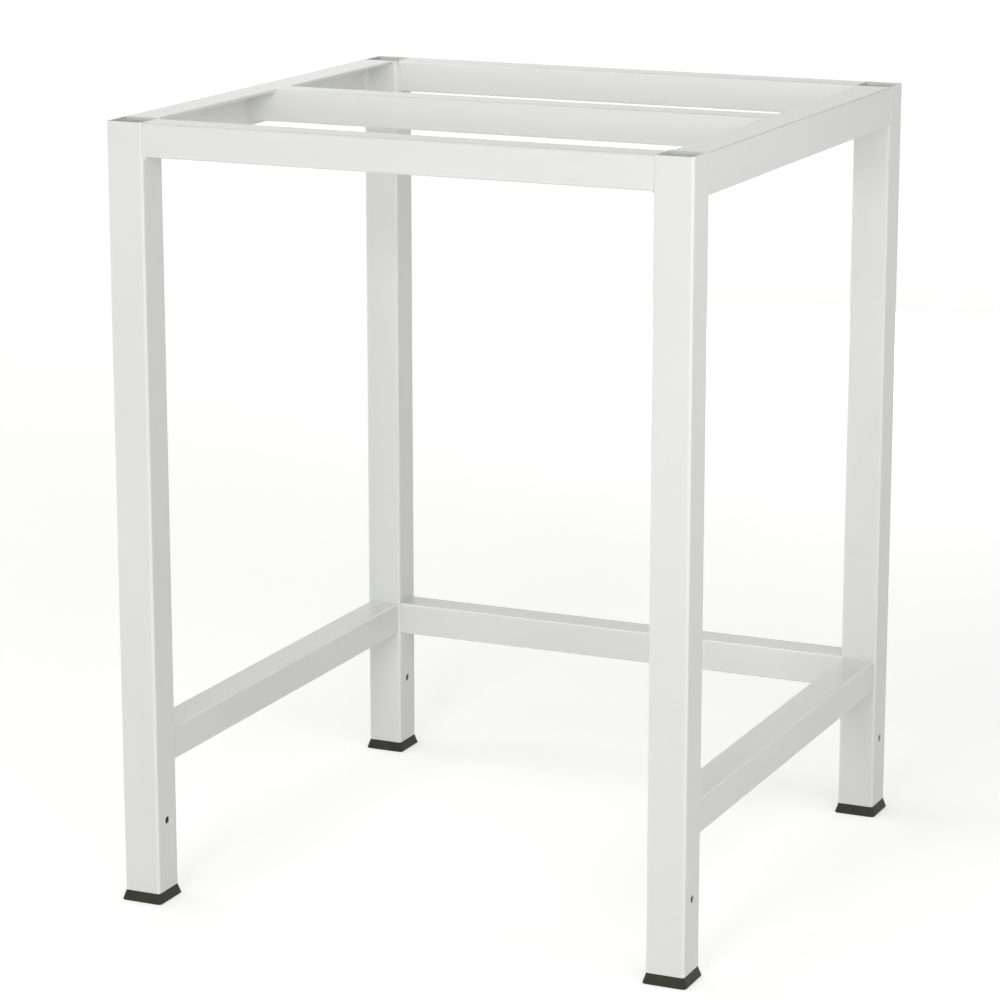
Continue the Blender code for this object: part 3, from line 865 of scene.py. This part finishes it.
def build_world():
    """White round about to the camera and in reflections, dim overhead; a plain soft light otherwise."""
    world = bpy.data.worlds.new("studio")
    bpy.context.scene.world = world
    world.use_nodes = True
    tree = world.node_tree
    tree.nodes.clear()
    toward = add_node(tree, "ShaderNodeTexCoord", {}).outputs["Generated"]
    height = add_node(tree, "ShaderNodeSeparateXYZ", {0: toward}).outputs["Z"]
    inputs = {"Value": height, "From Min": CEILING_HEIGHTS[0], "From Max": CEILING_HEIGHTS[1]}
    inputs |= {"To Min": 1 - AMBIENT, "To Max": CEILING - AMBIENT}
    added = add_node(tree, "ShaderNodeMapRange", inputs)
    inputs = {0: shown_rays(tree), 1: added, 2: AMBIENT}
    strength = add_node(tree, "ShaderNodeMath", inputs, operation="MULTIPLY_ADD")
    sky = add_node(tree, "ShaderNodeBackground", {"Color": (1, 1, 1, 1), "Strength": strength})
    add_node(tree, "ShaderNodeOutputWorld", {"Surface": sky})


def build_lamp(name, place, aim, size, power):
    """A square soft box that looks at a point."""
    data = bpy.data.lights.new(name, "AREA")
    data.shape = "SQUARE"
    data.size = size
    data.energy = power
    lamp = bpy.data.objects.new(name, data)
    lamp.location = place
    lamp.rotation_euler = (Vector(aim) - Vector(place)).to_track_quat("-Z", "Y").to_euler()
    lamp.visible_camera = False
    lamp.visible_glossy = False
    bpy.context.scene.collection.objects.link(lamp)


def build_floor():
    """A level square under the glides, large enough to fill every view."""
    mesh = bpy.data.meshes.new("floor")
    corners = [(x, y, 0) for x, y in FLOOR_SIZE * SQUARE_CORNERS]
    mesh.from_pydata(corners, [], [(0, 1, 2, 3)])
    mesh.materials.append(shared_material("matt studio floor", floor_paint, bpy.context.scene.table_finish))
    new_object("floor", mesh)


def build_camera():
    """The camera at the photographed angle, with no shift and no depth of field."""
    data = bpy.data.cameras.new("camera")
    data.lens = CAMERA_LENS
    data.sensor_width = CAMERA_SENSOR
    camera = bpy.data.objects.new("camera", data)
    camera.location = CAMERA_PLACE
    camera.rotation_euler = (math.pi / 2 - CAMERA_PITCH, 0, CAMERA_YAW)
    bpy.context.scene.collection.objects.link(camera)
    bpy.context.scene.camera = camera


class BuildLegs(bpy.types.Operator):
    """Builds the four coated legs"""

    bl_idname = "work_table.build_legs"
    bl_label = "Legs"

    def execute(self, context):
        for place in CORNERS:
            build_leg(place)
        return {"FINISHED"}


class BuildGlides(bpy.types.Operator):
    """Builds the moulded glide under each leg"""

    bl_idname = "work_table.build_glides"
    bl_label = "Glides"

    def execute(self, context):
        for place in CORNERS:
            build_glide(place)
        return {"FINISHED"}


class BuildSideRails(bpy.types.Operator):
    """Builds the two side rails with their screw holes"""

    bl_idname = "work_table.build_side_rails"
    bl_label = "Side rails"

    def execute(self, context):
        for side in ("left", "right"):
            build_side_rail(side)
        return {"FINISHED"}


class BuildTopRails(bpy.types.Operator):
    """Builds the front, back and middle rails that carry the worktop"""

    bl_idname = "work_table.build_top_rails"
    bl_label = "Top rails"

    def execute(self, context):
        for node in ("front_rail", "back_rail", "middle_rail"):
            rail = build_tube_rail(node, X)
            if node == "middle_rail":
                cope(rail, "left")
                cope(rail, "right")
            finish_piece(rail, COAT_SLOT, node)
        return {"FINISHED"}


class BuildLowerRails(bpy.types.Operator):
    """Builds the lower rails at the left, the right and the back"""

    bl_idname = "work_table.build_lower_rails"
    bl_label = "Lower rails"

    def execute(self, context):
        for side, axis in (("left", Y), ("right", Y), ("back", X)):
            node = "lower_rail_" + side
            finish_piece(build_tube_rail(node, axis), COAT_SLOT, node)
        return {"FINISHED"}


class BuildWelds(bpy.types.Operator):
    """Builds the weld beads and the ground welds"""

    bl_idname = "work_table.build_welds"
    bl_label = "Welds"

    def execute(self, context):
        top_rail_beads("front_rail", 1)
        top_rail_beads("back_rail", -1)
        top_rail_beads("middle_rail", 1)
        for side in ("left", "right"):
            side_rail_beads(side)
            lower_rail_beads("lower_rail_" + side, Y, ("front", "back"))
        lower_rail_beads("lower_rail_back", X, ("left", "right"))
        flush_welds()
        return {"FINISHED"}


class BuildStage(bpy.types.Operator):
    """Builds the floor, the light and the camera"""

    bl_idname = "work_table.build_stage"
    bl_label = "Stage"

    def execute(self, context):
        context.scene.view_settings.view_transform = "Standard"
        build_world()
        build_floor()
        build_camera()
        for name, lamp in LAMPS.items():
            build_lamp(name, **lamp)
        return {"FINISHED"}


class TablePanel(bpy.types.Panel):
    """Lists the table's sizes, finishes and build steps"""

    bl_idname = "VIEW3D_PT_work_table"
    bl_label = "Work table"
    bl_space_type = "VIEW_3D"
    bl_region_type = "UI"
    bl_category = "Work table"

    def draw(self, context):
        for group in (context.scene.table_sizes, context.scene.table_finish):
            for key in group.__annotations__:
                self.layout.prop(group, key)
        for step in STEPS:
            self.layout.operator(step.bl_idname)


STEPS = (BuildLegs, BuildGlides, BuildSideRails, BuildTopRails, BuildLowerRails, BuildWelds, BuildStage)
CLASSES = (TableSizes, TableFinish, *STEPS, TablePanel)


def register():
    """Makes the classes known, and hangs the sizes and colours on the scene."""
    for made in CLASSES:
        bpy.utils.register_class(made)
    bpy.types.Scene.table_sizes = bpy.props.PointerProperty(type=TableSizes)
    bpy.types.Scene.table_finish = bpy.props.PointerProperty(type=TableFinish)


def unregister():
    """Takes back what register did, in reverse."""
    del bpy.types.Scene.table_finish
    del bpy.types.Scene.table_sizes
    for made in reversed(CLASSES):
        bpy.utils.unregister_class(made)


def main():
    register()
    bpy.ops.work_table.build_legs()
    bpy.ops.work_table.build_glides()
    bpy.ops.work_table.build_side_rails()
    bpy.ops.work_table.build_top_rails()
    bpy.ops.work_table.build_lower_rails()
    bpy.ops.work_table.build_welds()
    bpy.ops.work_table.build_stage()


if __name__ == "__main__":
    main()
